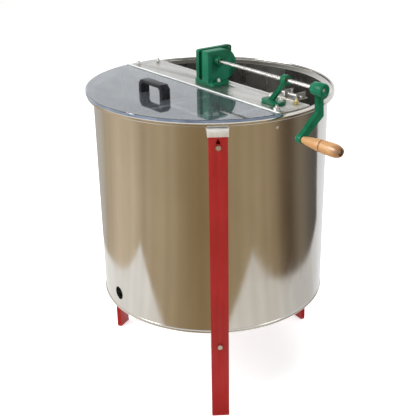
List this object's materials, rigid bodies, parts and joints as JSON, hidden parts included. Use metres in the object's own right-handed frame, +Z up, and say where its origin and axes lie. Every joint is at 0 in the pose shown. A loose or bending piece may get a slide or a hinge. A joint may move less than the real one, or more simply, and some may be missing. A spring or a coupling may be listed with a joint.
{
  "type": "honey extractor",
  "caption": "Hand-cranked honey extractor: polished steel tank on three red legs, clear half lid, green bevel drive and a four-cage basket inside.",
  "frame": {"origin": "middle of the whole object's bounding box, on the floor", "axes": "+Z up, +X along the crank shaft towards the crank, -Y towards the half lid"},
  "size_m": [0.9392, 0.736, 1.008],
  "materials": {
    "stainless": "polished stainless sheet",
    "satin_steel": "satin stainless steel",
    "red_paint": "red paint",
    "bare_steel": "bare bright steel",
    "green_enamel": "green enamel on cast iron",
    "bright_steel": "bright zinc plate",
    "bronze": "plain bronze",
    "gear_steel": "machined steel",
    "varnished_wood": "clear varnish",
    "clear_sheet": "clear acrylic sheet",
    "white_strip": "white edge strip",
    "black_plastic": "moulded plastic",
    "brass": "brass nut"
  },
  "bodies": {
    "stand": {"bar_lug_1": "satin_steel", "bar_lug_2": "satin_steel", "base_frame": "red_paint", "bearing_bracket": "green_enamel", "bracket_bolt_1": "bright_steel", "bracket_bolt_2": "bright_steel", "bracket_bush": "bronze", "case_bush": "bronze", "cover_screw_1": "bright_steel", "cover_screw_2": "bright_steel", "cover_screw_3": "bright_steel", "cover_screw_4": "bright_steel", "crossbar": "satin_steel", "crossbar_bolt_1": "bright_steel", "crossbar_bolt_2": "bright_steel", "crossbar_bolt_3": "bright_steel", "crossbar_bolt_4": "brass", "gearbox_bolt_1": "bright_steel", "gearbox_bolt_2": "bright_steel", "gearbox_case": "green_enamel", "gearbox_cover": "green_enamel", "latch_bracket": "satin_steel", "leg_1": "red_paint", "leg_2": "red_paint", "leg_3": "red_paint", "leg_bolt_lower_1": "bright_steel", "leg_bolt_lower_2": "bright_steel", "leg_bolt_lower_3": "bright_steel", "leg_bolt_upper_1": "bright_steel", "leg_bolt_upper_2": "bright_steel", "leg_bolt_upper_3": "bright_steel", "leg_socket_1": "bare_steel", "leg_socket_2": "bare_steel", "leg_socket_3": "bare_steel", "pivot_cup": "bright_steel", "tank_floor": "stainless", "tank_wall": "stainless", "top_bush": "bronze"},
    "basket": {"basket_shaft": "bright_steel", "basket_foot": "satin_steel", "basket_top": "satin_steel", "bevel_pinion": "gear_steel", "frame_cage_1": "satin_steel", "frame_cage_2": "satin_steel", "frame_cage_3": "satin_steel", "frame_cage_4": "satin_steel"},
    "crank": {"crank_shaft": "bright_steel", "bevel_gear": "gear_steel", "crank_arm": "green_enamel", "crank_set_screw": "bright_steel", "grip_spindle": "bright_steel"},
    "grip": {"grip": "varnished_wood"},
    "lid": {"lid": "clear_sheet", "lid_edge_strip": "white_strip", "lid_handle": "black_plastic", "handle_screw_1": "bright_steel", "handle_screw_2": "bright_steel"},
    "latch_bolt": {"latch_bolt": "bright_steel"}
  },
  "joints": [
    {"name": "basket_spin", "type": "hinge", "parent": "stand", "child": "basket", "pos_m": [-0.1089, -0.00435, 0.56], "axis": [0, 0, 1], "continuous": true},
    {"name": "crank_turn", "type": "hinge", "parent": "stand", "child": "crank", "pos_m": [-0.1089, -0.00435, 0.978], "axis": [1, 0, 0], "continuous": true},
    {"name": "grip_spin", "type": "hinge", "parent": "crank", "child": "grip", "pos_m": [0.3911, -0.06235, 0.86], "axis": [1, 0, 0], "continuous": true},
    {"name": "lid_lift", "type": "slide", "parent": "stand", "child": "lid", "axis": [0, 0, 1], "range_m": [0, 0.25]},
    {"name": "latch_slide", "type": "slide", "parent": "stand", "child": "latch_bolt", "axis": [1, 0, 0], "range_m": [0, 0.015]}
  ],
  "couplings": [
    {"joint": "crank_turn", "follows": "basket_spin", "ratio": 0.4}
  ]
}
